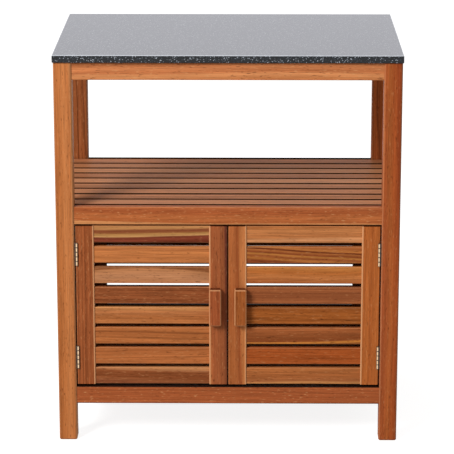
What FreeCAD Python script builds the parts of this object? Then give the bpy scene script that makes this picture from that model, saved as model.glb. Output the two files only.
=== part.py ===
import FreeCAD, Part
import os
import re
import Sketcher

# Outdoor kitchen module: a granite slab on an acacia frame with an open bay, a slatted shelf
# and a cupboard with two slatted doors on butt hinges. Millimetres, +Z up, the front faces -Y,
# and the origin is under the middle of the whole object, on the ground.

doc = FreeCAD.newDocument("OutdoorKitchenModule")

# Driving dimensions: cell alias, size and what it measures.
SIZES = (
    ("overall_height", 925, "ground to the top of the slab"),
    ("worktop_width", 800, "slab, side to side"),
    ("worktop_depth", 560, "slab, front to back"),
    ("worktop_thickness", 18, "slab thickness"),
    ("worktop_bevel", 1.5, "polished bevel round the slab's top and bottom edges"),
    ("side_overhang", 2, "slab past the legs at each side"),
    ("end_overhang", 5, "slab past the legs at front and back"),
    ("leg_width", 42, "square leg"),
    ("leg_bevel", 3, "eased edges of a leg, the long ones and those of its foot"),
    ("board_bevel", 1.5, "eased long edges of the rails, and of the doors' and panels' boards"),
    ("deck_bevel", 0.5, "eased long edges of the shelf and floor slats"),
    ("rail_thickness", 20, "every rail"),
    ("rail_recess", 4, "rail face behind the leg face"),
    ("rail_height", 42, "front rails of the shelf and the bottom"),
    ("top_rail_height", 41, "rails under the slab"),
    ("back_rail_height", 38, "shelf's back rail"),
    ("tenon_thickness", 9, "rail tenon"),
    ("tenon_shoulder", 5, "rail above and below its tenon"),
    ("tenon_wall", 3.5, "wood left between two tenons that meet in a leg"),
    ("joint_gap", 0.1, "glue gap round a tenon"),
    ("shelf_height", 568, "top of the shelf's front rail"),
    ("floor_height", 132, "top of the bottom's front rail"),
    ("back_rail_drop", 8, "shelf's back rail below its front rail"),
    ("deck_count", 9, "slats in the shelf and in the floor"),
    ("deck_slat_width", 42, "shelf and floor slat"),
    ("deck_slat_thickness", 14, "shelf and floor slat"),
    ("deck_step", 3, "deck slats below the top of the front rail"),
    ("deck_end_gap", 2.4, "first and last deck slat to the legs"),
    ("door_recess", 4, "door face behind the leg face"),
    ("door_top_gap", 4, "door to the shelf rail"),
    ("door_bottom_gap", 6, "door to the bottom rail"),
    ("door_side_gap", 3, "door to the leg, where the hinge leaves lie"),
    ("meeting_gap", 3, "between the two doors"),
    ("panel_gap", 3, "side panel to what is above and below it"),
    ("panel_foot_gap", 4.5, "back panel to the bottom rail"),
    ("panel_head_gap", 1.5, "back panel to the shelf rail"),
    ("back_panel_count", 2, "panels side by side at the back"),
    ("back_split", 2, "between two back panels"),
    ("stile_width", 42, "upright of a door or panel"),
    ("stile_thickness", 20, "upright of a door or panel"),
    ("slat_count", 8, "slats in a door or panel"),
    ("slat_height", 40, "door or panel slat"),
    ("slat_thickness", 12, "door or panel slat"),
    ("slat_recess", 3, "slat face behind the stile face"),
    ("slat_tenon_length", 14, "slat tenon"),
    ("slat_tenon_thickness", 7, "slat tenon"),
    ("slat_tenon_shoulder", 5, "slat above and below its tenon"),
    ("mortise_spare", 1, "depth of a mortise past its tenon"),
    ("handle_width", 28, "block handle"),
    ("handle_height", 88, "block handle"),
    ("handle_depth", 20, "block handle, out from the door"),
    ("handle_bevel", 2.5, "eased outer edges of a handle"),
    ("hinge_count", 2, "butt hinges on a door"),
    ("hinge_height", 55, "butt hinge"),
    ("hinge_inset", 67, "middle of a hinge to the door's end"),
    ("barrel_diameter", 5, "hinge barrel"),
    ("barrel_clearance", 0.3, "barrel to the door's face"),
    ("axis_offset", 5.3, "hinge axis to the leg, over the door's stile"),
    ("knuckle_count", 5, "knuckles in a barrel, the odd ones on the leg"),
    ("knuckle_gap", 0.5, "between two knuckles"),
    ("leaf_width", 18, "hinge axis to the leaf's edge"),
    ("leaf_thickness", 1.2, "hinge leaf"),
    ("pin_diameter", 2.6, "hinge pin"),
    ("pin_clearance", 0.05, "pin to the knuckle bore"),
    ("pin_stand", 0.6, "pin past each end of the barrel"),
    ("catch_width", 30, "magnetic catch and strike plate"),
    ("catch_depth", 14, "magnetic catch, back from the shelf rail"),
    ("catch_screwed_height", 14, "catch on the back of the shelf rail"),
    ("catch_hanging_height", 18, "catch below the shelf rail"),
    ("catch_gap", 0.4, "catch to the strike plate"),
    ("strike_height", 12, "strike plate"),
    ("strike_thickness", 1, "strike plate"),
)

sheet = doc.addObject("Spreadsheet::Sheet", "Sizes")
for row, (alias, size, note) in enumerate(SIZES, start=1):
    sheet.set(f"A{row}", note)
    sheet.set(f"B{row}", str(size))
    sheet.setAlias(f"B{row}", alias)
doc.recompute()
ALIASES = {alias for alias, size, note in SIZES}

# Sizes and places that several pieces share, as formulas of the cells.
LEG_OUTER = "(worktop_width / 2 - side_overhang)"
LEG_INNER = f"({LEG_OUTER} - leg_width)"
CLEAR_WIDTH = f"(2 * {LEG_INNER})"
FRAME_DEPTH = "(worktop_depth - 2 * end_overhang)"
CLEAR_DEPTH = f"({FRAME_DEPTH} - 2 * leg_width)"
LEG_HEIGHT = "(overall_height - worktop_thickness)"
HANDLE_REACH = "(handle_depth - door_recess)"
FRONT = f"(({HANDLE_REACH} - {FRAME_DEPTH} - end_overhang) / 2)"
MIDDLE = f"({FRONT} + {FRAME_DEPTH} / 2)"

RAIL_INSET = "(rail_recess + rail_thickness / 2)"
TENON_LENGTH = f"(leg_width - {RAIL_INSET} - tenon_thickness / 2 - tenon_wall)"
SIDE_RAIL_HEIGHT = "(rail_height - deck_step - deck_slat_thickness)"
DECK_LENGTH = f"(2 * ({LEG_OUTER} - rail_recess))"
DECK_PITCH = f"(({CLEAR_DEPTH} - 2 * deck_end_gap - deck_slat_width) / (deck_count - 1))"
DECK_START = f"({FRONT} + leg_width + deck_end_gap + deck_slat_width / 2)"
DECK_DROP = "(deck_step + deck_slat_thickness / 2)"

DOOR_WIDTH = f"(({CLEAR_WIDTH} - 2 * door_side_gap - meeting_gap) / 2)"
DOOR_LOW = "(floor_height + door_bottom_gap)"
DOOR_HIGH = "(shelf_height - rail_height - door_top_gap)"
DOOR_FRONT = f"({FRONT} + door_recess)"
BACK_PANEL_LOW = "(floor_height + panel_foot_gap)"
BACK_PANEL_HIGH = "(shelf_height - back_rail_drop - back_rail_height - panel_head_gap)"
SIDE_PANEL_LOW = "(floor_height - deck_step + panel_gap)"
SIDE_PANEL_HIGH = "(shelf_height - rail_height - panel_gap)"
PANEL_INSET = "(rail_recess + stile_thickness / 2)"
SLAT_LEAN = "(slat_recess + slat_thickness / 2 - stile_thickness / 2)"
CATCH_X = "((meeting_gap + stile_width) / 2)"

AXIS_INSET = "(barrel_diameter / 2 + barrel_clearance)"
AXIS_X = f"({LEG_INNER} - axis_offset)"
AXIS_Y = f"({DOOR_FRONT} - {AXIS_INSET})"
LOW_HINGE = f"({DOOR_LOW} + hinge_inset)"
HINGE_SPACING = f"(({DOOR_HIGH} - {DOOR_LOW} - 2 * hinge_inset) / (hinge_count - 1))"
KNUCKLE_PITCH = "(hinge_height / knuckle_count)"

# Each ring of rails: its name, then the height and the top of its front, back and side rails.
UNDER_SLAB = ("top_rail_height", LEG_HEIGHT)
BOTTOM_RAIL = ("rail_height", "floor_height")
RAIL_RINGS = (
    ("top", UNDER_SLAB, UNDER_SLAB, UNDER_SLAB),
    ("shelf", ("rail_height", "shelf_height"), ("back_rail_height", "(shelf_height - back_rail_drop)"),
     (SIDE_RAIL_HEIGHT, "(shelf_height - deck_step - deck_slat_thickness)")),
    ("bottom", BOTTOM_RAIL, BOTTOM_RAIL,
     (SIDE_RAIL_HEIGHT, "(floor_height - deck_step - deck_slat_thickness)")),
)

PLANE_ACROSS = {"x": "YZ_Plane", "y": "XZ_Plane", "z": "XY_Plane"}
CENTRED = ("0", "0", "0")
TOUCH = 1e-6
nodes = []


def bind(feature, path, text):
    """Tie a property of a feature to a formula of the sheet's cells."""
    def cell(word):
        return f"Sizes.{word.group()}" if word.group() in ALIASES else word.group()
    feature.setExpression(path, re.sub(r"[a-z_]+", cell, text))


def new_body(label, x, y, z):
    body = doc.addObject("PartDesign::Body", label)
    body.Label = label
    body.AllowCompound = True
    for path, text in zip("xyz", (x, y, z)):
        bind(body, f"Placement.Base.{path}", text)
    nodes.append(body)
    return body


def origin_feature(body, role):
    return next(feature for feature in body.Origin.OriginFeatures if feature.Role == role)


def new_sketch(body, name, run, shift):
    """A sketch across the run axis, moved by shift along the body's own x, y and z."""
    sketch = body.newObject("Sketcher::SketchObject", name)
    sketch.AttachmentSupport = [(origin_feature(body, PLANE_ACROSS[run]), "")]
    sketch.MapMode = "FlatFace"
    x, y, z = shift
    along = {"x": (y, z, x), "y": (x, z, f"-({y})"), "z": (x, y, z)}[run]
    for path, text in zip("xyz", along):
        bind(sketch, f"AttachmentOffset.Base.{path}", text)
    return sketch


def rectangle(body, name, run, wide, high, shift=CENTRED):
    """A rectangle about the sketch's own origin, with its two sizes as named constraints."""
    sketch = new_sketch(body, name, run, shift)
    corners = [FreeCAD.Vector(u, v, 0) for u, v in ((-1, -1), (1, -1), (1, 1), (-1, 1))]
    for start, end in zip(corners, corners[1:] + corners[:1]):
        sketch.addGeometry(Part.LineSegment(start, end))
    for line in range(4):
        sketch.addConstraint(Sketcher.Constraint("Coincident", line, 2, (line + 1) % 4, 1))
        sketch.addConstraint(Sketcher.Constraint("Vertical" if line % 2 else "Horizontal", line))
    sketch.addConstraint(Sketcher.Constraint("Symmetric", 0, 1, 1, 2, -1, 1))
    for kind, line, size_name, text in (("DistanceX", 0, "wide", wide), ("DistanceY", 1, "high", high)):
        number = sketch.addConstraint(Sketcher.Constraint(kind, line, 1, line, 2, 2.0))
        sketch.renameConstraint(number, size_name)
        bind(sketch, f"Constraints.{size_name}", text)
    return sketch


def circle(body, name, run, diameter, shift=CENTRED):
    sketch = new_sketch(body, name, run, shift)
    sketch.addGeometry(Part.Circle(FreeCAD.Vector(), FreeCAD.Vector(0, 0, 1), 1.0))
    sketch.addConstraint(Sketcher.Constraint("Coincident", 0, 3, -1, 1))
    number = sketch.addConstraint(Sketcher.Constraint("Diameter", 0, 2.0))
    sketch.renameConstraint(number, "across")
    bind(sketch, "Constraints.across", diameter)
    return sketch


def outline(body, name, run, points, shift):
    """A closed outline with straight sides, each corner held by its distances from the sketch's origin."""
    sketch = new_sketch(body, name, run, shift)
    count = len(points)
    spokes = [FreeCAD.Vector(corner, corner * (count - corner), 0) for corner in range(count)]
    for start, end in zip(spokes, spokes[1:] + spokes[:1]):
        sketch.addGeometry(Part.LineSegment(start, end))
    for corner, place in enumerate(points):
        sketch.addConstraint(Sketcher.Constraint("Coincident", corner, 2, (corner + 1) % count, 1))
        for kind, text in zip(("DistanceX", "DistanceY"), place):
            number = sketch.addConstraint(Sketcher.Constraint(kind, corner, 1, 1.0))
            sketch.renameConstraint(number, f"{kind}{corner}")
            bind(sketch, f"Constraints.{kind}{corner}", text)
    return sketch


def pad(body, name, sketch, length):
    """Thicken a sketch equally to both sides of its plane."""
    feature = body.newObject("PartDesign::Pad", name)
    feature.Profile = sketch
    feature.SideType = "Symmetric"
    bind(feature, "Length", length)
    return feature


def pocket(body, name, sketch, depth):
    """Cut a sketch to the same depth on both sides of its plane, and stop if that takes nothing away."""
    doc.recompute()
    volume = body.Shape.Volume
    feature = body.newObject("PartDesign::Pocket", name)
    feature.Profile = sketch
    feature.SideType = "Symmetric"
    bind(feature, "Length", f"2 * ({depth})")
    doc.recompute()
    if not body.Shape.Volume < volume:
        raise RuntimeError(f"{body.Label}: {name} cuts nothing")
    return feature


def ease(body, size, chosen):
    """Bevel those edges of the body's last feature that the chosen test picks."""
    doc.recompute()
    base = body.Tip
    edges = [f"Edge{number}" for number, edge in enumerate(base.Shape.Edges, start=1)
             if chosen(edge, base.Shape)]
    feature = body.newObject("PartDesign::Chamfer", "eased_edges")
    feature.Base = (base, edges)
    bind(feature, "Size", size)


def runs_along(run):
    """An edge test: the edge lies along the run axis."""
    axis = FreeCAD.Vector(*[float(run == name) for name in "xyz"])

    def test(edge, shape):
        reach = edge.Vertexes[-1].Point - edge.Vertexes[0].Point
        return reach.cross(axis).Length < TOUCH * reach.Length
    return test


def lies_at_end(run, pick):
    """An edge test: the edge lies at the solid's lowest (min) or highest (max) end along the run axis."""
    def level(vertex):
        return getattr(vertex, run.upper())

    def test(edge, shape):
        end = pick(level(vertex) for vertex in shape.Vertexes)
        return all(abs(level(vertex) - end) < TOUCH for vertex in edge.Vertexes)
    return test


def repeat(body, name, axis, count, spacing, features=()):
    """Repeat features, or the whole body, along one of the body's own axes."""
    doc.recompute()
    pattern = body.newObject("PartDesign::LinearPattern", name)
    if features:
        pattern.Originals = list(features)
    else:
        pattern.TransformMode = "Whole shape"
    pattern.Direction = (origin_feature(body, f"{axis.upper()}_Axis"), [""])
    pattern.Mode = "Spacing"
    bind(pattern, "Offset", spacing)
    bind(pattern, "Occurrences", count)
    body.Tip = pattern


def mirror(body, name, plane):
    """Add the whole body's mirror image in one of its own planes."""
    doc.recompute()
    mirrored = body.newObject("PartDesign::Mirrored", name)
    mirrored.TransformMode = "Whole shape"
    mirrored.MirrorPlane = (origin_feature(body, plane), [""])
    body.Tip = mirrored


def board(label, run, length, section, place, tenon=None, shift=CENTRED, bevel="board_bevel"):
    """A planed board along the run axis with eased long edges and, where it has them, two tenons."""
    body = new_body(label, *place)
    pad(body, "plank", rectangle(body, "section", run, *section, shift), length)
    ease(body, bevel, runs_along(run))
    if tenon:
        thick, high, reach = tenon
        cheeks = rectangle(body, "tenon_section", run, thick, high, shift)
        pad(body, "tenons", cheeks, f"{length} + 2 * {reach}")
    return body


def granite_worktop():
    """The slab lies on the legs and the top rails."""
    body = new_body("granite_worktop", "0", MIDDLE, "overall_height - worktop_thickness / 2")
    pad(body, "slab", rectangle(body, "outline", "z", "worktop_width", "worktop_depth"), "worktop_thickness")
    upright = runs_along("z")
    ease(body, "worktop_bevel", lambda edge, shape: not upright(edge, shape))


def leg(label, side, end):
    """One leg with a mortise for each rail; side is -1 left or 1 right, end is -1 front or 1 back."""
    body = new_body(label, f"{side} * ({LEG_OUTER} - leg_width / 2)",
                    f"{MIDDLE} + {end} * ({FRAME_DEPTH} - leg_width) / 2", f"{LEG_HEIGHT} / 2")
    pad(body, "post", rectangle(body, "section", "z", "leg_width", "leg_width"), LEG_HEIGHT)
    upright, foot = runs_along("z"), lies_at_end("z", min)
    ease(body, "leg_bevel", lambda edge, shape: upright(edge, shape) or foot(edge, shape))
    rail_line = f"(leg_width / 2 - {RAIL_INSET})"
    for ring, front, back, sides in RAIL_RINGS:
        mouths = (("x", front if end < 0 else back, f"{-side} * leg_width / 2", f"{end} * {rail_line}"),
                  ("y", sides, f"{side} * {rail_line}", f"{-end} * leg_width / 2"))
        for run, (height, top), x, y in mouths:
            mouth = rectangle(body, f"{ring}_{run}_mouth", run, "tenon_thickness + 2 * joint_gap",
                              f"{height} - 2 * tenon_shoulder + 2 * joint_gap",
                              (x, y, f"{top} - {height} / 2 - {LEG_HEIGHT} / 2"))
            pocket(body, f"{ring}_{run}_mortise", mouth, f"{TENON_LENGTH} + mortise_spare")


def rails():
    """Three rings of rails, tenoned into the legs."""
    for ring, front, back, sides in RAIL_RINGS:
        for name, run, (height, top), length, sign in (
                ("front", "x", front, CLEAR_WIDTH, -1), ("back", "x", back, CLEAR_WIDTH, 1),
                ("left", "y", sides, CLEAR_DEPTH, -1), ("right", "y", sides, CLEAR_DEPTH, 1)):
            x = f"{sign} * ({LEG_OUTER} - {RAIL_INSET})" if run == "y" else "0"
            y = f"{MIDDLE} + {sign} * ({FRAME_DEPTH} / 2 - {RAIL_INSET})" if run == "x" else MIDDLE
            tenon = ("tenon_thickness", f"{height} - 2 * tenon_shoulder", TENON_LENGTH)
            board(f"{ring}_rail_{name}", run, length, ("rail_thickness", height),
                  (x, y, f"{top} - {height} / 2"), tenon)


def decks():
    """Shelf and floor slats lie on the side rails, between the front and the back legs."""
    section = ("deck_slat_width", "deck_slat_thickness")
    for number in range(int(sheet.deck_count)):
        place = ("0", f"{DECK_START} + {number} * {DECK_PITCH}", f"shelf_height - {DECK_DROP}")
        board(f"shelf_slat_{number + 1}", "x", DECK_LENGTH, section, place, bevel="deck_bevel")
    floor = board("floor_slats", "x", DECK_LENGTH, section, ("0", DECK_START, f"floor_height - {DECK_DROP}"),
                  bevel="deck_bevel")
    repeat(floor, "row", "y", "deck_count", DECK_PITCH)


def stile(label, place, height, run, facing, lean, shift=CENTRED):
    """An upright with a row of mortises for slats that run along x or y, in the edge that faces them.

    lean is how far the slats' middle lies from the stile's, and shift moves the stile from the body's origin.
    """
    section = ("stile_width", "stile_thickness") if run == "x" else ("stile_thickness", "stile_width")
    body = board(label, "z", height, section, place, shift=shift)
    x, y, z = shift
    edge = f"{facing} * stile_width / 2"
    low = f"(slat_height - {height}) / 2"
    inward = {"x": (edge, lean), "y": (lean, edge)}[run]
    mouth_at = (f"{x} + {inward[0]}", f"{y} + {inward[1]}", low)
    mouth = rectangle(body, "mortise_mouth", run, "slat_tenon_thickness + 2 * joint_gap",
                      "slat_height - 2 * slat_tenon_shoulder + 2 * joint_gap", mouth_at)
    cut = pocket(body, "mortise", mouth, "slat_tenon_length + mortise_spare")
    repeat(body, "mortise_row", "z", "slat_count", slat_pitch(height), [cut])
    return body


def slat_pitch(height):
    """The end slats are flush with the stiles' ends, and the rest are spread evenly between them."""
    return f"(({height} - slat_height) / (slat_count - 1))"


def slat(label, run, width, place, shift=CENTRED):
    """A slat between the two stiles of a door or panel of the given width."""
    tenon = ("slat_tenon_thickness", "slat_height - 2 * slat_tenon_shoulder", "slat_tenon_length")
    section = ("slat_thickness", "slat_height")
    return board(label, run, f"({width} - 2 * stile_width)", section, place, tenon, shift)


def back_panels():
    """Framed slat panels side by side between the back legs, with their slats nearer the outside."""
    width = f"(({CLEAR_WIDTH} + back_split) / back_panel_count - back_split)"
    step = f"({width} + back_split)"
    height = f"({BACK_PANEL_HIGH} - {BACK_PANEL_LOW})"
    x = f"-(back_panel_count - 1) / 2 * {step}"
    y = f"({FRONT} + {FRAME_DEPTH} - {PANEL_INSET})"
    stiles = stile("back_panel_stiles", (x, y, f"({BACK_PANEL_LOW} + {BACK_PANEL_HIGH}) / 2"), height, "x", 1,
                   f"-{SLAT_LEAN}", (f"-({width} - stile_width) / 2", "0", "0"))
    mirror(stiles, "other_edge", "YZ_Plane")
    repeat(stiles, "panels", "x", "back_panel_count", step)
    lowest = (x, f"{y} - {SLAT_LEAN}", f"{BACK_PANEL_LOW} + slat_height / 2")
    slats = slat("back_panel_slats", "x", width, lowest)
    repeat(slats, "row", "z", "slat_count", slat_pitch(height))
    repeat(slats, "panels", "x", "back_panel_count", step)


def side_panels():
    """A framed slat panel at each side between the front and back legs, slats nearer the outside."""
    height = f"({SIDE_PANEL_HIGH} - {SIDE_PANEL_LOW})"
    x = f"-({LEG_OUTER} - {PANEL_INSET})"
    stiles = stile("side_panel_stiles", ("0", MIDDLE, f"({SIDE_PANEL_LOW} + {SIDE_PANEL_HIGH}) / 2"), height,
                   "y", 1, SLAT_LEAN, (x, f"-({CLEAR_DEPTH} - stile_width) / 2", "0"))
    mirror(stiles, "other_edge", "XZ_Plane")
    mirror(stiles, "other_side", "YZ_Plane")
    slats = slat("side_panel_slats", "y", CLEAR_DEPTH, ("0", MIDDLE, f"{SIDE_PANEL_LOW} + slat_height / 2"),
                 (f"{x} + {SLAT_LEAN}", "0", "0"))
    repeat(slats, "row", "z", "slat_count", slat_pitch(height))
    mirror(slats, "other_side", "YZ_Plane")


def hinge_leaves(label, side, leaf_x, first, count):
    """The leaves of the hinges at one side: plates about leaf_x, whose arms reach round the edge of the door
    to count knuckles in front of its stile, from the first knuckle up."""
    body = new_body(label, "0", AXIS_Y, LOW_HINGE)
    axis_x = f"{side} * {AXIS_X}"
    knuckle_z = f"({first} + 1 / 2) * {KNUCKLE_PITCH} - hinge_height / 2"
    knuckle_length = f"{KNUCKLE_PITCH} - knuckle_gap"
    plate_middle = f"(leaf_width + {AXIS_INSET}) / 2"
    pad(body, "plate", rectangle(body, "plate_section", "z", "leaf_thickness", f"leaf_width - {AXIS_INSET}",
                                 (leaf_x, plate_middle, "0")), "hinge_height")
    neck_section = rectangle(body, "neck_section", "z", "leaf_thickness", AXIS_INSET,
                             (leaf_x, f"{AXIS_INSET} / 2 + leaf_thickness", knuckle_z))
    neck = pad(body, "neck", neck_section, knuckle_length)
    arm_end = f"({leaf_x} + {side} * leaf_thickness / 2)"
    arm_section = rectangle(body, "arm_section", "z", f"{side} * ({arm_end} - {axis_x})", "leaf_thickness",
                            (f"({arm_end} + {axis_x}) / 2", "leaf_thickness * 3 / 2", knuckle_z))
    arm = pad(body, "arm", arm_section, knuckle_length)
    knuckle = pad(body, "knuckle", circle(body, "barrel", "z", "barrel_diameter", (axis_x, "0", knuckle_z)),
                  knuckle_length)
    repeat(body, "knuckle_row", "z", count, f"2 * {KNUCKLE_PITCH}", [neck, arm, knuckle])
    bore = circle(body, "bore_section", "z", "pin_diameter + 2 * pin_clearance", (axis_x, "0", "0"))
    pocket(body, "bore", bore, "hinge_height")
    repeat(body, "hinges", "z", "hinge_count", HINGE_SPACING)
    return body


def frame_hinges():
    """The leaves on the legs, and the pins, which are tight in the legs' knuckles."""
    leaves = hinge_leaves("hinge_frame_leaves", -1, f"-({LEG_INNER} - leaf_thickness / 2)", 0,
                          "(knuckle_count + 1) / 2")
    mirror(leaves, "right_hinges", "YZ_Plane")
    pins = new_body("hinge_pins", "0", AXIS_Y, LOW_HINGE)
    shank = circle(pins, "shank_section", "z", "pin_diameter", (f"-{AXIS_X}", "0", "0"))
    pad(pins, "shank", shank, "hinge_height + 2 * pin_stand")
    repeat(pins, "hinges", "z", "hinge_count", HINGE_SPACING)
    mirror(pins, "right_hinges", "YZ_Plane")


def magnetic_catches():
    """One catch for each door, screwed to the back of the shelf's front rail and hanging behind the doors."""
    body = new_body("magnetic_catches", "0", FRONT, "0")
    rail_back = "(rail_recess + rail_thickness)"
    rail_low = "(shelf_height - rail_height)"
    magnet_face = "(door_recess + stile_thickness + strike_thickness + catch_gap)"
    points = ((rail_back, rail_low), (rail_back, f"{rail_low} + catch_screwed_height"),
              (f"{rail_back} + catch_depth", f"{rail_low} + catch_screwed_height"),
              (f"{rail_back} + catch_depth", f"{rail_low} - catch_hanging_height"),
              (magnet_face, f"{rail_low} - catch_hanging_height"), (magnet_face, rail_low))
    profile = outline(body, "profile", "x", points, (f"-{CATCH_X}", "0", "0"))
    pad(body, "case", profile, "catch_width")
    mirror(body, "right_catch", "YZ_Plane")


def door(name, side):
    """Two stiles with slats between them, a block handle, the strike plate and the hinges' moving leaves."""
    height = f"({DOOR_HIGH} - {DOOR_LOW})"
    middle = f"({DOOR_LOW} + {DOOR_HIGH}) / 2"
    stile_y = f"({DOOR_FRONT} + stile_thickness / 2)"
    meeting_x = f"{side} * (meeting_gap + stile_width) / 2"
    hinge_edge = f"(meeting_gap / 2 + {DOOR_WIDTH})"
    stile(f"{name}_hinge_stile", (f"{side} * ({hinge_edge} - stile_width / 2)", stile_y, middle), height, "x",
          -side, SLAT_LEAN)
    stile(f"{name}_meeting_stile", (meeting_x, stile_y, middle), height, "x", side, SLAT_LEAN)
    for number in range(int(sheet.slat_count)):
        z = f"{DOOR_HIGH} - slat_height / 2 - {number} * {slat_pitch(height)}"
        slat(f"{name}_slat_{number + 1}", "x", DOOR_WIDTH,
             (f"{side} * (meeting_gap + {DOOR_WIDTH}) / 2", f"{stile_y} + {SLAT_LEAN}", z))

    handle = new_body(f"{name}_handle", f"{side} * (meeting_gap / 2 + stile_width - handle_width / 2)",
                      f"{DOOR_FRONT} - handle_depth / 2", middle)
    pad(handle, "block", rectangle(handle, "outline", "y", "handle_width", "handle_height"), "handle_depth")
    seat = lies_at_end("y", max)
    ease(handle, "handle_bevel", lambda edge, shape: not seat(edge, shape))

    strike_low = "(shelf_height - rail_height - catch_hanging_height)"
    strike_y = f"{DOOR_FRONT} + stile_thickness + strike_thickness / 2"
    strike_z = f"{strike_low} + strike_height / 2"
    strike = new_body(f"{name}_strike_plate", f"{side} * {CATCH_X}", strike_y, strike_z)
    strike_outline = rectangle(strike, "outline", "y", "catch_width", "strike_height")
    pad(strike, "plate", strike_outline, "strike_thickness")

    hinge_leaves(f"{name}_hinge_leaves", side, f"{side} * ({hinge_edge} + leaf_thickness / 2)", 1,
                 "(knuckle_count - 1) / 2")


def export():
    """Stop on any failed feature or bad solid, then write one file for each node."""
    doc.recompute()
    failed = [feature.Name for feature in doc.Objects if {"Invalid", "Error"} & set(feature.State)]
    failed += [body.Label for body in nodes if body.Shape.isNull() or not body.Shape.isValid()]
    if failed:
        raise RuntimeError(f"failed: {failed}")
    os.makedirs("parts", exist_ok=True)
    for body in nodes:
        body.Shape.exportStep(f"parts/{body.Label}.step")
        print(body.Label, len(body.Shape.Solids), round(body.Shape.Volume))


granite_worktop()
for end_name, end in (("front", -1), ("back", 1)):
    for side_name, side in (("left", -1), ("right", 1)):
        leg(f"leg_{end_name}_{side_name}", side, end)
rails()
decks()
back_panels()
side_panels()
frame_hinges()
magnetic_catches()
door("left_door", -1)
door("right_door", 1)
export()
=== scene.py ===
import math
import bpy
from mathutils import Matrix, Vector


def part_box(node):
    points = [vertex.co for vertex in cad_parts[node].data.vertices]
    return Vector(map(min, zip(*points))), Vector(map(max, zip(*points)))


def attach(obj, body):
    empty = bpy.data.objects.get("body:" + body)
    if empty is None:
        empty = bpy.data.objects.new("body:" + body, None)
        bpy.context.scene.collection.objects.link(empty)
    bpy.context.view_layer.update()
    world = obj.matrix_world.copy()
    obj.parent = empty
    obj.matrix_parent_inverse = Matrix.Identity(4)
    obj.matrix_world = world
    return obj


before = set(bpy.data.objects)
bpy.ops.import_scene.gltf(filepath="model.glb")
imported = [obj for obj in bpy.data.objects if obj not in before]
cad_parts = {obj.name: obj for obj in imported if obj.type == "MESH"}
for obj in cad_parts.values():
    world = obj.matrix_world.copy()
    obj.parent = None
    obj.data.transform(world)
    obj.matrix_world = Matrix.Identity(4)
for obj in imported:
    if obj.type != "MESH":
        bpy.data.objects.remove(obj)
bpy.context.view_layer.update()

# Four square legs of planed acacia with eased edges, wiped with oil. Each is mortised on two faces for
# the rails, and its end grain stands on the ground.

MM = 0.001


def linear(colour):
    """An sRGB hex colour as linear red, green, blue and alpha."""
    channels = [int(colour[place:place + 2], 16) / 255 for place in (1, 3, 5)]
    return [c / 12.92 if c <= 0.04045 else ((c + 0.055) / 1.055) ** 2.4 for c in channels] + [1.0]


def add(tree, kind, inputs=(), **settings):
    """Add a node with its settings, then fill its inputs, in order or by name, with values or links.

    A node that is given as an input stands for the first of its outputs that is in use.
    """
    node = tree.nodes.new(kind)
    for name, value in settings.items():
        setattr(node, name, value)
    for key, value in inputs.items() if isinstance(inputs, dict) else enumerate(inputs):
        if isinstance(value, bpy.types.Node):
            value = next(output for output in value.outputs if output.enabled)
        if isinstance(value, bpy.types.NodeSocket):
            tree.links.new(value, node.inputs[key])
        else:
            node.inputs[key].default_value = value
    return node


def lay_tones(ramp, tones):
    """Set the stops of a colour ramp to places from 0 to 1 and their tones. The first place is 0."""
    ramp.elements.remove(ramp.elements[1])
    for spot, tone in tones:
        stop = ramp.elements.new(spot) if spot else ramp.elements[0]
        stop.color = linear(tone)


def bare_material(name):
    """A new material with an empty node tree."""
    material = bpy.data.materials.new(name)
    material.use_nodes = True
    material.node_tree.nodes.clear()
    return material


def dress(node, material):
    """Give a CAD node its material."""
    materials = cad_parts[node].data.materials
    materials.clear()
    materials.append(material)


def facing(tree):
    """How far the surface faces along x, y and z, each from 0 to 1."""
    normal = add(tree, "ShaderNodeTexCoord").outputs["Normal"]
    normal = add(tree, "ShaderNodeVectorMath", [normal], operation="ABSOLUTE")
    return add(tree, "ShaderNodeSeparateXYZ", [normal]).outputs


# How far a face looks along its nearest axis: a square face further than the first, a slanting one not
# as far as the second.
SQUARE = 0.98
SLANTED = 0.75


def slanting(tree, sides, most):
    """From 0 on faces that are square to an axis to most on the slanting faces of eased edges."""
    x, y, z = sides
    squarest = add(tree, "ShaderNodeMath", (x, y), operation="MAXIMUM")
    squarest = add(tree, "ShaderNodeMath", (squarest, z), operation="MAXIMUM")
    return add(tree, "ShaderNodeMapRange", (squarest, SQUARE, SLANTED, 0.0, most))


# How a board was cut from its log, in millimetres: how far the heart of the log lies from the board's
# middle, across its face and behind it, how wide the growth bands are, how far they wander along the
# grain, the degrees by which the grain runs out of the board, and how strong bands and fibres are.
QUARTER_SAWN = dict(across=150, behind=20, band=6, wander=4, run_out=0.3, strength=0.8, fibre=0.24)
RIFT_SAWN = dict(across=60, behind=50, band=10, wander=8, run_out=0.8, strength=1.0, fibre=0.22)
FLAT_SAWN = dict(across=14, behind=34, band=8, wander=9, run_out=0.8, strength=1.9, fibre=0.16)
QUIET = dict(across=120, behind=70, band=16, wander=6, run_out=0.4, strength=0.7, fibre=0.18)


def figured(slant, bow, *bands):
    """The bold figure of a board: how far it slants and bows in millimetres, and the tones of its bands.

    Each band is its share of the way from the top of a lying board, or from the left of an upright.
    """
    return {"slant": slant, "bow": bow, "bands": bands}


# The log lies along z. A seed picks a place in it. The boards of one node lie up to 50 mm apart in it, and
# each has its own tone.
GRAIN_TURN = {"x": (0, 90, 0), "y": (-90, 0, 0), "z": (0, 0, 0)}
SEED_STEP = (0.37, 0.73, 0.51)
SEED_RINGS = 7.3
BOARD_JUMP = (0.05, 0.05, 0.05)
OWN_TONE = 0.8
# Bands wander slowly along the board: one bend in about 300 mm, and a slight ripple in about 80 mm.
BEND = 75
RIPPLE = 20
ALONG_BENDS = (1, 1, 0.25)
RIPPLE_SHARE = 0.1
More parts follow.
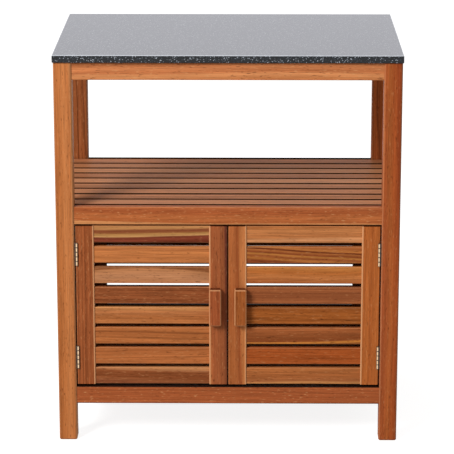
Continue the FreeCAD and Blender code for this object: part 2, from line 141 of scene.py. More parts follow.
# Fibres are 0.1 mm wide and pores 0.2 mm. Both are drawn over ten times as coarse, so that they show.
COARSE = 2.6
ALONG_FIBRES = (1, 1, 0.03)
ALONG_PORES = (1, 1, 0.2)
# Ranges of a pattern, and what they turn into. Most of a soft noise lies within NOISE_SPAN.
NOISE_SPAN = (0.3, 0.7)
FIGURE_WANDER = (*NOISE_SPAN, -0.06, 0.06)
STREAKS = (*NOISE_SPAN, 1.1, 0.9)
SATIN = (*NOISE_SPAN, 0.42, 0.56)
LINES_PER_BAND = 2.6
LINE_SPAN = (0.56, 0.74)
LINE_STRENGTH = 0.55
PALE_SPAN = (0.62, 0.76)
PITS = (0.36, 0.24, 0.0, 0.55)
END_FACES = (0.6, 0.9, 0.0, 0.7)
SHADED_FACES = (0.45, 0.7, 0.0, 0.97)
PALE_STRIP = (3.6 * MM, 2.8 * MM, 0.0, 0.85)
PIT_DEPTH = -0.6
HEARTWOOD_LINE = "#4A1E0C"
PALE_FLECK = "#D89C68"
PALE_EDGE = "#DCA070"
DARK_PORE = "#451C0A"
PAINTED_SHADE = "#180B05"
END_GRAIN = "#4A2210"


def oiled_acacia(node, grain, tones, cut, seed, boards=None, flecks=0.25, edges=0.25, pale_side=0, shade_axis=None,
                 shine=0.05):
    """Acacia, planed and oiled: warm bands of heartwood, fine fibre lines, pores and a satin surface.

    grain is the axis that the board runs along. tones are the light and the dark of its growth bands, or a
    bold figure. boards is where the boards of a node that holds several begin, and how far apart they lie,
    so that each of them shows another part of the log and its own tone. flecks is how strongly pale flecks
    show, and edges how pale the eased edges are, as sanded wood with a painted highlight. pale_side is -1 or
    1 where a pale strip runs along an upright's left or right edge, shade_axis the axis that the faces
    painted dark as shade look along, and shine how strongly the oil shines.
    """
    material = bare_material(f"oiled_acacia_{node}")
    tree = material.node_tree
    place = add(tree, "ShaderNodeTexCoord").outputs["Object"]
    sides = facing(tree)
    low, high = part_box(node)
    size = high - low
    run = "xyz".index(grain)
    thin, wide = sorted((axis for axis in range(3) if axis != run), key=lambda axis: size[axis])
    heart = (low + high) / 2
    heart[thin] += cut["behind"] * MM
    heart[wide] += cut["across"] * MM * (1 if seed % 2 else -1)
    lean = cut["run_out"] * (1 if seed % 3 else -1)
    turn = [math.radians(angle + lean) for angle in GRAIN_TURN[grain]]
    grown = place
    if boards:
        start, apart = boards
        cell = add(tree, "ShaderNodeVectorMath", (place, start), operation="SUBTRACT")
        cell = add(tree, "ShaderNodeVectorMath", (cell, apart), operation="DIVIDE")
        cell = add(tree, "ShaderNodeVectorMath", [cell], operation="FLOOR")
        chance = add(tree, "ShaderNodeTexWhiteNoise", {"Vector": cell}).outputs
        jump = add(tree, "ShaderNodeVectorMath", (chance["Color"], BOARD_JUMP), operation="MULTIPLY")
        grown = add(tree, "ShaderNodeVectorMath", (place, jump), operation="ADD")
    log = add(tree, "ShaderNodeMapping", {"Vector": grown, "Location": heart, "Rotation": turn},
              vector_type="TEXTURE")
    shifted = add(tree, "ShaderNodeVectorMath", (log, [seed * step for step in SEED_STEP]), operation="ADD")

    # Growth bands differ in width, so they are noise along the ring's radius and not an even wave.
    slow = add(tree, "ShaderNodeMapping", {"Vector": shifted, "Scale": ALONG_BENDS})
    bend = add(tree, "ShaderNodeTexNoise", {"Vector": slow, "Scale": 1 / (BEND * MM), "Detail": 1.0})
    ripple = add(tree, "ShaderNodeTexNoise", {"Vector": slow, "Scale": 1 / (RIPPLE * MM), "Detail": 1.0})
    ring = add(tree, "ShaderNodeVectorMath", (log, (1, 1, 0)), operation="MULTIPLY")
    ring = add(tree, "ShaderNodeVectorMath", [ring], operation="LENGTH")
    for wave, reach in ((bend, 2), (ripple, 2 * RIPPLE_SHARE)):
        ring = add(tree, "ShaderNodeMath", (wave, reach * cut["wander"] * MM, ring), operation="MULTIPLY_ADD")
    count = add(tree, "ShaderNodeMath", (ring, 1 / (cut["band"] * MM), seed * SEED_RINGS),
                operation="MULTIPLY_ADD")
    bands = add(tree, "ShaderNodeTexNoise", {"W": count, "Scale": 1.0, "Detail": 2.0, "Roughness": 0.6},
                noise_dimensions="1D")
    if isinstance(tones, dict):
        spots = add(tree, "ShaderNodeSeparateXYZ", [place]).outputs
        across = 2 - run
        first, last = (high, low) if grain == "x" else (low, high)
        along = add(tree, "ShaderNodeMapRange", (spots[run], low[run], high[run], -1.0, 1.0))
        bowed = add(tree, "ShaderNodeMath", (along, along), operation="MULTIPLY")
        share = add(tree, "ShaderNodeMapRange", (spots[across], first[across], last[across]))
        for path, shift in ((along, tones["slant"]), (bowed, tones["bow"])):
            share = add(tree, "ShaderNodeMath", (path, shift * MM / size[across], share),
                        operation="MULTIPLY_ADD")
        wavy = add(tree, "ShaderNodeMapRange", (bend, *FIGURE_WANDER))
        share = add(tree, "ShaderNodeMath", (share, wavy), operation="ADD")
        figure = add(tree, "ShaderNodeValToRGB", [share])
        figure.color_ramp.interpolation = "EASE"
        lay_tones(figure.color_ramp, tones["bands"])
        streaks = add(tree, "ShaderNodeMapRange", (bands, *STREAKS))
        colour = add(tree, "ShaderNodeMix", {"Factor": 1.0, "A": figure, "B": streaks}, data_type="RGBA",
                     blend_type="MULTIPLY")
    else:
        light, dark = tones
        reach = 0.5 * cut["strength"]
        tone = add(tree, "ShaderNodeMapRange", (bands, *NOISE_SPAN, 0.5 - reach, 0.5 + reach))
        if boards:
            tone = add(tree, "ShaderNodeMath", (chance["Value"], OWN_TONE, tone), operation="MULTIPLY_ADD")
            tone = add(tree, "ShaderNodeMath", (tone, OWN_TONE / 2), operation="SUBTRACT")
        colour = add(tree, "ShaderNodeMix", {"Factor": tone, "A": linear(light), "B": linear(dark)},
                     data_type="RGBA")
        lines = add(tree, "ShaderNodeTexNoise", {"W": count, "Scale": LINES_PER_BAND, "Detail": 1.0},
                    noise_dimensions="1D")
        lines = add(tree, "ShaderNodeMapRange", (lines, *LINE_SPAN, 0.0, LINE_STRENGTH * cut["strength"]))
        colour = add(tree, "ShaderNodeMix", {"Factor": lines, "A": colour, "B": linear(HEARTWOOD_LINE)},
                     data_type="RGBA")
    fibre = add(tree, "ShaderNodeMapping", {"Vector": shifted, "Scale": ALONG_FIBRES})
    fibre = add(tree, "ShaderNodeTexNoise", {"Vector": fibre, "Scale": 1 / (COARSE * MM), "Detail": 2.0})
    shade = add(tree, "ShaderNodeMapRange", (fibre, *NOISE_SPAN, 1 - cut["fibre"], 1 + cut["fibre"]))
    colour = add(tree, "ShaderNodeMix", {"Factor": 1.0, "A": colour, "B": shade}, data_type="RGBA",
                 blend_type="MULTIPLY")

    # Over the bands and fibres lie the pores. Eased edges are sanded through to paler wood and carry a
    # painted highlight. End grain has soaked up oil and is darker. Faces in gaps and under other parts are
    # painted dark as shade.
    pores = add(tree, "ShaderNodeMapping", {"Vector": shifted, "Scale": ALONG_PORES})
    pores = add(tree, "ShaderNodeTexNoise", {"Vector": pores, "Scale": 1 / (COARSE * MM), "Detail": 1.0})
    pits = add(tree, "ShaderNodeMapRange", (pores, *PITS))
    layers = [(add(tree, "ShaderNodeMapRange", (pores, *PALE_SPAN, 0.0, flecks)), PALE_FLECK),
              (pits, DARK_PORE),
              (add(tree, "ShaderNodeMapRange", (sides[run], *END_FACES)), END_GRAIN)]
    # Eased edges are made paler: partly sanded wood, partly a painted highlight.
    if edges:
        layers.append((slanting(tree, sides, edges), PALE_EDGE))
    # A pale strip runs along the last 2.8 mm of an upright's left or right edge and fades out by 3.6 mm.
    if pale_side:
        edge = high.x if pale_side > 0 else low.x
        spot = add(tree, "ShaderNodeSeparateXYZ", [place]).outputs["X"]
        distance = add(tree, "ShaderNodeMath", (spot, edge), operation="SUBTRACT")
        distance = add(tree, "ShaderNodeMath", [distance], operation="ABSOLUTE")
        layers.append((add(tree, "ShaderNodeMapRange", (distance, *PALE_STRIP)), PALE_EDGE))
    # Faces that look along the given axis, into gaps or under other parts, are painted near-black brown:
    # painted shade.
    if shade_axis:
        shaded = add(tree, "ShaderNodeMapRange", (sides["xyz".index(shade_axis)], *SHADED_FACES))
        layers.append((shaded, PAINTED_SHADE))
    for share, tone in layers:
        colour = add(tree, "ShaderNodeMix", {"Factor": share, "A": colour, "B": linear(tone)},
                     data_type="RGBA")
    height = add(tree, "ShaderNodeMath", (pits, PIT_DEPTH, fibre), operation="MULTIPLY_ADD")
    surface = add(tree, "ShaderNodeBsdfPrincipled", {
        "Base Color": colour,
        "Roughness": add(tree, "ShaderNodeMapRange", (fibre, *SATIN)),
        "Normal": add(tree, "ShaderNodeBump", {"Height": height, "Strength": 0.35, "Distance": 0.15 * MM}),
        "Specular IOR Level": shine})
    add(tree, "ShaderNodeOutputMaterial", [surface])
    dress(node, material)


LEFT_LEG = figured(
    3, 0, (0.0, "#A86030"), (0.3, "#BC703C"), (0.6, "#C27844"), (0.85, "#BA703E"), (0.95, "#C27E4C"))
RIGHT_LEG = figured(
    5, 4, (0.0, "#9E4E2A"), (0.25, "#AA562C"), (0.5, "#AA5A2C"), (0.75, "#A45026"), (1.0, "#904220"))
oiled_acacia("leg_front_left", "z", LEFT_LEG, QUIET, 3)
oiled_acacia("leg_front_right", "z", RIGHT_LEG, QUIET, 4)
oiled_acacia("leg_back_left", "z", ("#B0643A", "#80441F"), RIFT_SAWN, 5)
oiled_acacia("leg_back_right", "z", ("#D8763E", "#AA5628"), QUARTER_SAWN, 7)

# Three rings of rails between the legs: under the slab, at the shelf and under the doors. Planed acacia
# boards on edge, tenoned into the legs and glued.

RAILS = {
    "top_rail_front": (figured(
        2, -3, (0.0, "#BC6E40"), (0.3, "#CA7C4C"), (0.5, "#C07244"), (0.7, "#CE8654"), (1.0, "#C47846")),
        QUIET, 8),
    "shelf_rail_front": (figured(
        -4, 3, (0.0, "#B4643A"), (0.3, "#A4562E"), (0.6, "#B46638"), (0.85, "#AC5E32"), (0.94, "#CA8652")),
        RIFT_SAWN, 9),
    "bottom_rail_front": (("#B86438", "#984E2A"), QUIET, 10),
    "top_rail_back": (("#B46C38", "#98562A"), QUARTER_SAWN, 11),
    "bottom_rail_back": (("#A85E30", "#884822"), RIFT_SAWN, 13),
}
# The bottom rails' top faces, shaded by the doors above them, are painted dark as shade.
for node, rail in RAILS.items():
    oiled_acacia(node, "x", *rail, flecks=0.6, shade_axis="z" if node.startswith("bottom") else None)
# The back shelf rail's top is painted dark as the shade behind the last slat, and kept from shining.
oiled_acacia("shelf_rail_back", "x", ("#AC6432", "#8C4C24"), QUIET, 12, edges=0, shade_axis="z", shine=0.0)
for number, ring in enumerate(("top", "shelf", "bottom")):
    oiled_acacia(f"{ring}_rail_left", "y", ("#B87038", "#9A5626"), RIFT_SAWN, 14 + number)
    oiled_acacia(f"{ring}_rail_right", "y", ("#AC602E", "#904820"), QUARTER_SAWN, 17 + number)

# The slatted shelf and the cupboard's floor: nine flat acacia slats each, laid on the side rails with
# open gaps between them. Their faces are planed, and their long edges, left as they were sawn, are painted
# dark as the shade in the gaps.

# The shelf slats are toned paler than the other boards: painted light that makes up for the shade under the
# slab.
SHELF_TONES = (
    ("#E69C70", "#BE7C52"), ("#DA9062", "#AE6A40"), ("#E69A6C", "#C07C52"), ("#D89064", "#B27046"),
    ("#EAA072", "#CA865A"), ("#D68C62", "#AC6A40"), ("#E29A6C", "#C27E52"), ("#DA9064", "#B47044"),
    ("#D88E62", "#B26C42"),
)
for number, tones in enumerate(SHELF_TONES, start=1):
    cut = QUARTER_SAWN if number % 2 else RIFT_SAWN
    oiled_acacia(f"shelf_slat_{number}", "x", tones, cut, 20 + number, flecks=0.4, edges=0, shade_axis="y",
                 shine=0.04)
DECK_PITCH = 52.4 * MM
DECK_GAP = 10.4 * MM
# Wider than the cabinet, so that boards aren't told apart along that axis.
WIDE = 10.0
deck_start = (-WIDE / 2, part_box("floor_slats")[0].y - DECK_GAP / 2, -WIDE / 2)
deck = (deck_start, (WIDE, DECK_PITCH, WIDE))
oiled_acacia("floor_slats", "x", ("#B47038", "#8A4E24"), RIFT_SAWN, 31, boards=deck, edges=0, shade_axis="y",
             shine=0.04)

# The fixed back and side panels of the cupboard: slats tenoned into stiles, made like the doors and fixed
# between the legs.

SLAT_HEIGHT = 40 * MM
SLAT_GAPS = 7
STILES_APART = 200 * MM


def slats_of(node):
    """Where the slats of a panel begin, and how far apart they lie, with the panels split at the middle."""
    low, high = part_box(node)
    pitch = (high.z - low.z - SLAT_HEIGHT) / SLAT_GAPS
    return (0, -WIDE / 2, low.z - (pitch - SLAT_HEIGHT) / 2), (WIDE, WIDE, pitch)


back_stiles = ((0, -WIDE / 2, -WIDE / 2), (STILES_APART, WIDE, WIDE))
side_stiles = ((0, 0, -WIDE / 2), (WIDE, WIDE, WIDE))
PANEL_STILE = ("#A86230", "#884820")
PANEL_SLAT = ("#BA723A", "#844822")
oiled_acacia("back_panel_stiles", "z", PANEL_STILE, RIFT_SAWN, 32, boards=back_stiles)
oiled_acacia("side_panel_stiles", "z", PANEL_STILE, QUARTER_SAWN, 34, boards=side_stiles)
# The panel slats' upper and lower faces, in the gaps, are painted dark as shade.
for node, grain, cut, seed in (("back_panel_slats", "x", FLAT_SAWN, 33),
                               ("side_panel_slats", "y", RIFT_SAWN, 35)):
    oiled_acacia(node, grain, PANEL_SLAT, cut, seed, boards=slats_of(node), shade_axis="z")

# The worktop: one slab of dark granite, sawn and polished, with a narrow bevel that is painted pale on the
# upper side as a highlight. It lies on the legs and the top rails by its own weight.

CRYSTAL = 1.7
CRYSTAL_TONES = ((0.0, "#080A0E"), (0.36, "#0F1217"), (0.66, "#1A1F27"), (0.84, "#101C1E"), (0.89, "#434A52"),
                 (0.945, "#A0A6AE"))
CLOUD = 14
CLOUDS = (0.35, 0.65, 0.7, 1.2)
POLISH = (0.0, 1.0, 0.08, 0.16)
BEVEL_HIGHLIGHT = "#D4D8E0"
BEVEL_HIGHLIGHT_SHARE = 0.9

# Polished granite: near-black with small pale and blue-grey crystals. Seen along the surface, the polish
# mirrors the bright room and turns it pale grey.
granite = bare_material("polished_granite")
tree = granite.node_tree
place = add(tree, "ShaderNodeTexCoord").outputs["Object"]
crystals = add(tree, "ShaderNodeTexVoronoi", {"Vector": place, "Scale": 1 / (CRYSTAL * MM)})
chance = add(tree, "ShaderNodeSeparateColor", [crystals.outputs["Color"]]).outputs
stone = add(tree, "ShaderNodeValToRGB", [chance[0]])
stone.color_ramp.interpolation = "CONSTANT"
lay_tones(stone.color_ramp, CRYSTAL_TONES)
clouds = add(tree, "ShaderNodeTexNoise", {"Vector": place, "Scale": 1 / (CLOUD * MM), "Detail": 2.0})
clouds = add(tree, "ShaderNodeMapRange", (clouds, *CLOUDS))
colour = add(tree, "ShaderNodeMix", {"Factor": 1.0, "A": stone, "B": clouds}, data_type="RGBA",
             blend_type="MULTIPLY")
low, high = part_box("granite_worktop")
level = add(tree, "ShaderNodeSeparateXYZ", [place]).outputs["Z"]
upper = add(tree, "ShaderNodeMath", (level, (low.z + high.z) / 2), operation="GREATER_THAN")
# The bevel along the upper edges is painted pale grey: a painted highlight.
bevel = slanting(tree, facing(tree), BEVEL_HIGHLIGHT_SHARE)
lit_bevel = add(tree, "ShaderNodeMath", (bevel, upper), operation="MULTIPLY")
colour = add(tree, "ShaderNodeMix", {"Factor": lit_bevel, "A": colour, "B": linear(BEVEL_HIGHLIGHT)},
             data_type="RGBA")
surface = add(tree, "ShaderNodeBsdfPrincipled", {
    "Base Color": colour,
    "Roughness": add(tree, "ShaderNodeMapRange", (chance[1], *POLISH)),
    "IOR": 1.36,
    "Sheen Weight": 1.0,
    "Sheen Roughness": 0.3,
    "Sheen Tint": linear("#E2E3F4")})
add(tree, "ShaderNodeOutputMaterial", [surface])
dress("granite_worktop", granite)

# Two doors, each with eight slats tenoned into a hinge stile and a meeting stile, and a block handle
# screwed on from behind. Planed acacia, oiled; no two slats came from the same board.

STILES = {
    "left_door_hinge_stile": (("#AA5E34", "#864624"), QUARTER_SAWN, 41),
    # The left meeting stile darkens to near-black brown along its right edge.
    "left_door_meeting_stile": (figured(
        4, 0, (0.0, "#B46C3E"), (0.16, "#AA5C34"), (0.55, "#A05832"), (0.8, "#92502E"), (0.97, "#5A2A20")),
        QUIET, 42),
    "right_door_meeting_stile": (figured(
        3, -2, (0.0, "#A85E30"), (0.3, "#B06436"), (0.58, "#9C522A"), (0.7, "#B86E3C"), (0.9, "#BE7442")),
        QUIET, 43),
    "right_door_hinge_stile": (("#BE6C34", "#A85828"), QUIET, 44),
}
STILES_PALE_SIDE = {"left_door_hinge_stile": 1, "left_door_meeting_stile": -1, "right_door_meeting_stile": 1,
               "right_door_hinge_stile": -1}
for node, stile in STILES.items():
    oiled_acacia(node, "z", *stile, edges=0.15, pale_side=STILES_PALE_SIDE[node])
oiled_acacia("left_door_handle", "z", ("#AE5C34", "#8A4424"), QUARTER_SAWN, 45, edges=0.6)
oiled_acacia("right_door_handle", "z", ("#B06430", "#8E4A22"), QUIET, 46, edges=0.6)
DOOR_SLATS = {
    "left_door": (
        (figured(3, 2, (0.0, "#AE7444"), (0.16, "#BE8450"), (0.32, "#82462A"), (0.42, "#8C5230"),
                 (0.52, "#B07E48"), (0.64, "#C08C58"), (0.71, "#7A3A28"), (0.86, "#823E2A"),
                 (1.0, "#6A301E")), QUIET, 51),
        (("#CE8048", "#B26A3C"), QUARTER_SAWN, 52),
        (figured(-2, -9, (0.0, "#885230"), (0.05, "#8C5632"), (0.13, "#B4784E"), (0.5, "#C4865C"),
                 (1.0, "#BC7A4E")), QUIET, 53),
        (("#A05A34", "#824626"), QUARTER_SAWN, 54),
        (figured(-3, 0, (0.0, "#CC8A52"), (0.3, "#BA7344"), (0.6, "#AC6638"), (1.0, "#BC7442")),
         RIFT_SAWN, 55),
        (("#C27440", "#A66034"), QUIET, 56),
        (("#C07240", "#A86034"), QUIET, 57),
        (figured(-6, 2, (0.0, "#BE8050"), (0.14, "#B4744A"), (0.26, "#8A4C2A"), (0.6, "#824626"),
                 (0.8, "#8E5230"), (1.0, "#8A4E30")), QUIET, 58),
    ),
    "right_door": (
        (figured(2, 0, (0.0, "#AE6838"), (0.3, "#C07A48"), (0.65, "#B87242"), (0.85, "#D08E5E"),
                 (1.0, "#C48050")), QUARTER_SAWN, 61),
        (figured(-9, 0, (0.0, "#A86032"), (0.16, "#B87038"), (0.26, "#6A301A"), (0.33, "#A86232"),
                 (0.48, "#8C4826"), (0.56, "#BA763A"), (0.7, "#9A542C"), (0.85, "#B26C34"),
                 (1.0, "#884424")), QUIET, 62),
        (figured(-2, 2, (0.0, "#C67C3E"), (0.35, "#B66A34"), (0.6, "#BE7440"), (1.0, "#A65C30")),
         RIFT_SAWN, 63),
        (("#A66038", "#8A4C2C"), QUIET, 64),
        (("#B0642E", "#8A4A20"), RIFT_SAWN, 65),
        (figured(4, 0, (0.0, "#A65E34"), (0.4, "#94522C"), (0.76, "#8C4A26"), (0.88, "#CC8038"),
                 (1.0, "#9C5C2E")), QUIET, 66),
        (("#B45C2C", "#9A4A20"), QUIET, 67),
        (figured(2, 0, (0.0, "#B26A3A"), (0.5, "#A66034"), (0.78, "#AC663A"), (0.92, "#CA8850"),
                 (1.0, "#C07E48")), RIFT_SAWN, 68),
    ),
}
for door, slats in DOOR_SLATS.items():
    for number, slat in enumerate(slats, start=1):
        oiled_acacia(f"{door}_slat_{number}", "x", *slat, shine=0.01)

# Four brass butt hinges, pressed and rolled from sheet, with a pin through five knuckles. One leaf is
# screwed to the leg and the other to the door's edge.

DOOR_MIDDLE = 330 * MM
BARREL_START = 97.5 * MM
KNUCKLE = 11 * MM
BARREL_AXIS = 350.7 * MM
SHADE_BACK_LIMIT = -262 * MM
ARM_START = 352.9 * MM
KNUCKLE_JOINT = (1.6 * MM, 0.6 * MM, 0.0, 0.9)
BARREL_SIDE = (1.2 * MM, 1.9 * MM, 0.0, 0.9)
TARNISH = 6
ROLLED = (0.0, 1.0, 0.28, 0.46)

# Pressed brass: pale yellow metal, satin from rolling, with dark brown in the joints of the knuckles, down
# both sides of the barrel and round the arms behind it: painted shade, with some grime in the joints.
brass = bare_material("pressed_brass")
tree = brass.node_tree
place = add(tree, "ShaderNodeTexCoord").outputs["Object"]
tarnish = add(tree, "ShaderNodeTexNoise", {"Vector": place, "Scale": 1 / (TARNISH * MM), "Detail": 3.0})
colour = add(tree, "ShaderNodeMix", {"Factor": tarnish, "A": linear("#EACFAE"), "B": linear("#C8A074")},
             data_type="RGBA")
x, y, z = add(tree, "ShaderNodeSeparateXYZ", [place]).outputs
level = add(tree, "ShaderNodeMath", (z, DOOR_MIDDLE), operation="SUBTRACT")
level = add(tree, "ShaderNodeMath", [level], operation="ABSOLUTE")
from_start = add(tree, "ShaderNodeMath", (level, BARREL_START), operation="SUBTRACT")
from_joint = add(tree, "ShaderNodeMath", (from_start, KNUCKLE / 2), operation="PINGPONG")
from_middle = add(tree, "ShaderNodeMath", [x], operation="ABSOLUTE")
from_axis = add(tree, "ShaderNodeMath", (from_middle, BARREL_AXIS), operation="SUBTRACT")
from_axis = add(tree, "ShaderNodeMath", [from_axis], operation="ABSOLUTE")
in_joint = add(tree, "ShaderNodeMapRange", (from_joint, *KNUCKLE_JOINT))
beside = add(tree, "ShaderNodeMapRange", (from_axis, *BARREL_SIDE))
on_arm = add(tree, "ShaderNodeMath", (from_middle, ARM_START), operation="GREATER_THAN")
in_front = add(tree, "ShaderNodeMath", (y, SHADE_BACK_LIMIT), operation="LESS_THAN")
# Dark brown in the knuckle joints, beside the barrel and on the arms, at the front only: painted shade, with
# some grime in the joints.
grime_and_shade = add(tree, "ShaderNodeMath", (in_joint, beside), operation="MAXIMUM")
grime_and_shade = add(tree, "ShaderNodeMath", (grime_and_shade, on_arm), operation="MAXIMUM")
grime_and_shade = add(tree, "ShaderNodeMath", (grime_and_shade, in_front), operation="MULTIPLY")
surface = add(tree, "ShaderNodeBsdfPrincipled", {
    "Base Color": add(tree, "ShaderNodeMix", {"Factor": grime_and_shade, "A": colour, "B": linear("#2E1A0C")},
                      data_type="RGBA"),
    "Roughness": add(tree, "ShaderNodeMapRange", (tarnish, *ROLLED)),
    "Metallic": add(tree, "ShaderNodeMath", (1.0, grime_and_shade), operation="SUBTRACT")})
add(tree, "ShaderNodeOutputMaterial", [surface])
for node in ("hinge_frame_leaves", "hinge_pins", "left_door_hinge_leaves", "right_door_hinge_leaves"):
    dress(node, brass)

# Two magnetic catches in moulded brown plastic behind the shelf rail, and a zinc-plated steel strike plate
# on the back of each door.

MOULD_GRAIN = 1.2
MOULDED = (0.0, 1.0, 0.44, 0.56)
SCRATCH = 0.6
ALONG_SCRATCHES = (0.05, 1, 1)
PLATED = (0.0, 1.0, 0.28, 0.42)

# Moulded plastic: dark brown and matt, with the fine grain of the mould, drawn coarse so that it shows.
plastic = bare_material("moulded_brown_plastic")
tree = plastic.node_tree
place = add(tree, "ShaderNodeTexCoord").outputs["Object"]
texture = add(tree, "ShaderNodeTexNoise", {
    "Vector": place, "Scale": 1 / (MOULD_GRAIN * MM), "Detail": 2.0})
surface = add(tree, "ShaderNodeBsdfPrincipled", {
    "Base Color": add(tree, "ShaderNodeMix", {"Factor": texture, "A": linear("#3E2A20"),
                                              "B": linear("#4A3328")}, data_type="RGBA"),
    "Roughness": add(tree, "ShaderNodeMapRange", (texture, *MOULDED)),
    "Normal": add(tree, "ShaderNodeBump", {"Height": texture, "Strength": 0.2, "Distance": 0.1 * MM})})
add(tree, "ShaderNodeOutputMaterial", [surface])
dress("magnetic_catches", plastic)

# Zinc-plated steel: pale blue-grey metal with faint scratches across the door, drawn coarse so that they
# show.
zinc = bare_material("zinc_plated_steel")
tree = zinc.node_tree
place = add(tree, "ShaderNodeTexCoord").outputs["Object"]
brushed = add(tree, "ShaderNodeMapping", {"Vector": place, "Scale": ALONG_SCRATCHES})
scratch = add(tree, "ShaderNodeTexNoise", {"Vector": brushed, "Scale": 1 / (SCRATCH * MM), "Detail": 2.0})
surface = add(tree, "ShaderNodeBsdfPrincipled", {
    "Base Color": add(tree, "ShaderNodeMix", {"Factor": scratch, "A": linear("#B9BCC0"),
                                              "B": linear("#D2D4D6")}, data_type="RGBA"),
    "Roughness": add(tree, "ShaderNodeMapRange", (scratch, *PLATED)),
    "Metallic": 1.0})
add(tree, "ShaderNodeOutputMaterial", [surface])
DOORS = {"left_door": -1, "right_door": 1}
for door in DOORS:
    dress(f"{door}_strike_plate", zinc)

# The small screws: zinc-plated, cross-recessed heads. Flat ones are let into the hinge leaves and strike
# plates, and round ones hold the handles from behind and the catches to the shelf rail.

scene = bpy.context.scene
FLAT_HEAD = (2.8 * MM, 2.8 * MM, 0.2 * MM)
ROUND_HEAD = (3.6 * MM, 3.6 * MM, 1.9 * MM)
SCREW_SHAPE = {"Crown": 0.72, "Recess Width": 0.24, "Recess Length": 1.0, "Recess Depth": 0.6}
HEAD_CORNERS = 24

heads = bpy.data.node_groups.new("screw_heads", "GeometryNodeTree")
heads.interface.new_socket("Points", in_out="INPUT", socket_type="NodeSocketGeometry")
shape_inputs = {}
for name in SCREW_SHAPE:
    socket = heads.interface.new_socket(name, in_out="INPUT", socket_type="NodeSocketFloat")
    shape_inputs[name] = socket.identifier
heads.interface.new_socket("Screws", in_out="OUTPUT", socket_type="NodeSocketGeometry")
given = add(heads, "NodeGroupInput").outputs
crown = add(heads, "GeometryNodeMeshCone", {
    "Vertices": HEAD_CORNERS, "Radius Top": given["Crown"], "Radius Bottom": 1.0, "Depth": 1.0})
depth = add(heads, "ShaderNodeMath", (given["Recess Depth"], 2.0), operation="MULTIPLY")
slot_size = add(heads, "ShaderNodeCombineXYZ", (given["Recess Length"], given["Recess Width"], depth))
slot_tool = add(heads, "GeometryNodeMeshCube", {"Size": slot_size})
recessed = add(heads, "GeometryNodeMeshBoolean", {"Mesh 1": crown}, operation="DIFFERENCE")
for quarter_turn in (0.0, math.pi / 2):
    tool = add(heads, "GeometryNodeTransform", {"Geometry": slot_tool, "Translation": (0, 0, 1),
                                                "Rotation": (0, 0, quarter_turn)})
    heads.links.new(tool.outputs["Geometry"], recessed.inputs["Mesh 2"])
way_out = add(heads, "GeometryNodeInputNamedAttribute", {"Name": "way_out"}, data_type="FLOAT_VECTOR")
head_size = add(heads, "GeometryNodeInputNamedAttribute", {"Name": "head_size"}, data_type="FLOAT_VECTOR")
turned = add(heads, "FunctionNodeAlignRotationToVector", {"Vector": way_out}, axis="Z")
placed = add(heads, "GeometryNodeInstanceOnPoints", {
    "Points": given["Points"], "Instance": recessed, "Rotation": turned, "Scale": head_size})
real = add(heads, "GeometryNodeRealizeInstances", {"Geometry": placed})
plated = add(heads, "GeometryNodeSetMaterial", {"Geometry": real, "Material": zinc})
add(heads, "NodeGroupOutput", {"Screws": plated})


def fit_screws(body, screws):
    """One mesh of screw heads that rides on a body. A screw is its place, the way it faces and its size."""
    places, ways, sizes = zip(*screws)
    points = bpy.data.meshes.new(f"{body}_screws")
    points.from_pydata(places, [], [])
    for name, vectors in (("way_out", ways), ("head_size", sizes)):
        layer = points.attributes.new(name, "FLOAT_VECTOR", "POINT")
        layer.data.foreach_set("vector", [number for vector in vectors for number in vector])
    screw_set = bpy.data.objects.new(f"{body}_screws", points)
    scene.collection.objects.link(screw_set)
    modifier = screw_set.modifiers.new("screw_heads", "NODES")
    modifier.node_group = heads
    for name, value in SCREW_SHAPE.items():
        modifier[shape_inputs[name]] = value
    view = bpy.context.evaluated_depsgraph_get()
    solid = bpy.data.meshes.new_from_object(screw_set.evaluated_get(view))
    screw_set.modifiers.remove(modifier)
    screw_set.data = solid
    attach(screw_set, body)


HINGE_SCREW_LEVELS = [hinge * MM + step * MM for hinge in (205, 455) for step in (-16.5, 16.5)]
HINGE_SCREW_DEPTH = -257.9 * MM
FRAME_LEAF_FACE = 354.8 * MM
DOOR_LEAF_FACE = 354.2 * MM
HANDLE_MIDDLE = 29.5 * MM
HANDLE_SCREW_STEP = 27 * MM
STILE_BACK = -245.5 * MM
CATCH_MIDDLE = 22.5 * MM
CATCH_SCREW_STEP = 10 * MM
STRIKE_FACE = -244.5 * MM
STRIKE_LEVEL = 514 * MM
CATCH_BACK = -231.5 * MM
CATCH_LEVEL = 533 * MM
BACKWARD = (0, 1, 0)
frame_screws = []
for door, side in DOORS.items():
    outward = (side, 0, 0)
    inward = (-side, 0, 0)
    door_screws = []
    for level in HINGE_SCREW_LEVELS:
        frame_screws.append(((side * FRAME_LEAF_FACE, HINGE_SCREW_DEPTH, level), inward, FLAT_HEAD))
        door_screws.append(((side * DOOR_LEAF_FACE, HINGE_SCREW_DEPTH, level), outward, FLAT_HEAD))
    for step in (-HANDLE_SCREW_STEP, HANDLE_SCREW_STEP):
        door_screws.append(((side * HANDLE_MIDDLE, STILE_BACK, DOOR_MIDDLE + step), BACKWARD, ROUND_HEAD))
    for step in (-CATCH_SCREW_STEP, CATCH_SCREW_STEP):
        x = side * (CATCH_MIDDLE + step)
        door_screws.append(((x, STRIKE_FACE, STRIKE_LEVEL), BACKWARD, FLAT_HEAD))
        frame_screws.append(((x, CATCH_BACK, CATCH_LEVEL), BACKWARD, ROUND_HEAD))
    fit_screws(door, door_screws)
fit_screws("frame", frame_screws)

# The studio: a plain pale floor that keeps a soft shadow, a white surround, one soft lamp from the upper
# left, and the camera where the photograph was taken.

scene.view_settings.view_transform = "Standard"


def seen_white(tree):
    """1 for rays from the camera and for those that mirror or pass on the background, else 0."""
    path = add(tree, "ShaderNodeLightPath").outputs
    seen = add(tree, "ShaderNodeMath", (path["Is Camera Ray"], path["Is Glossy Ray"]), operation="MAXIMUM")
    return add(tree, "ShaderNodeMath", (seen, path["Is Transmission Ray"]), operation="MAXIMUM")


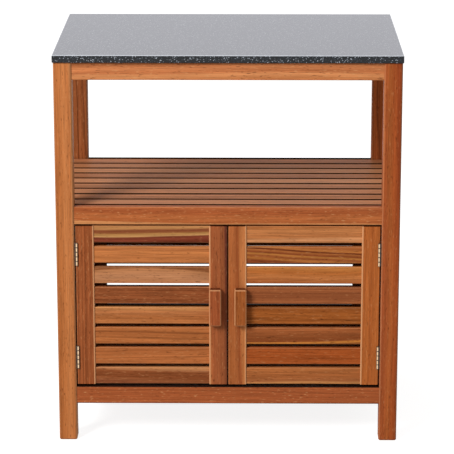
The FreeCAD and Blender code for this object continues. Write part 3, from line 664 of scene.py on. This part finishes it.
FILL = 0.40
world = bpy.data.worlds.new("studio")
scene.world = world
world.use_nodes = True
tree = world.node_tree
tree.nodes.clear()
strength = add(tree, "ShaderNodeMapRange", (seen_white(tree), 0.0, 1.0, FILL, 1.0))
surround = add(tree, "ShaderNodeBackground", {"Color": (1, 1, 1, 1), "Strength": strength})
add(tree, "ShaderNodeOutputWorld", [surround])

FLOOR_HALF = 12.0
FLOOR_LEVEL = -0.0005
FLOOR_GLOW = 0.86
corners = [(x * FLOOR_HALF, y * FLOOR_HALF, FLOOR_LEVEL) for x, y in ((-1, -1), (1, -1), (1, 1), (-1, 1))]
sheet = bpy.data.meshes.new("studio_floor")
sheet.from_pydata(corners, [], [(0, 1, 2, 3)])
floor = bpy.data.objects.new("studio_floor", sheet)
scene.collection.objects.link(floor)

# White paper: matt, lifted to near white where the camera or a mirror sees it.
paper = bare_material("white_paper")
tree = paper.node_tree
matt = add(tree, "ShaderNodeBsdfDiffuse", {"Color": linear("#C0C0C0")})
glow = add(tree, "ShaderNodeMath", (seen_white(tree), FLOOR_GLOW), operation="MULTIPLY")
lift = add(tree, "ShaderNodeEmission", {"Strength": glow})
both = add(tree, "ShaderNodeAddShader", (matt, lift))
add(tree, "ShaderNodeOutputMaterial", [both])
sheet.materials.append(paper)

LAMP_PLACE = Vector((-3.4, -4.6, 3.9))
LAMP_AIM = Vector((0, -0.2, 0.45))
lamp = bpy.data.lights.new("key_lamp", "AREA")
lamp.size = 2.2
lamp.energy = 320
holder = bpy.data.objects.new("key_lamp", lamp)
holder.location = LAMP_PLACE
holder.rotation_euler = (LAMP_AIM - LAMP_PLACE).to_track_quat("-Z", "Y").to_euler()
scene.collection.objects.link(holder)

LEVEL_VIEW = 90
CAMERA_DIP = 14.755
CAMERA_TURN = 0.533
camera = bpy.data.cameras.new("camera")
camera.lens = 188.28
camera.sensor_width = 36
eye = bpy.data.objects.new("camera", camera)
eye.location = (0.0475, -5.5755, 1.9193)
eye.rotation_euler = [math.radians(angle) for angle in (LEVEL_VIEW - CAMERA_DIP, 0.0, CAMERA_TURN)]
scene.collection.objects.link(eye)
scene.camera = eye
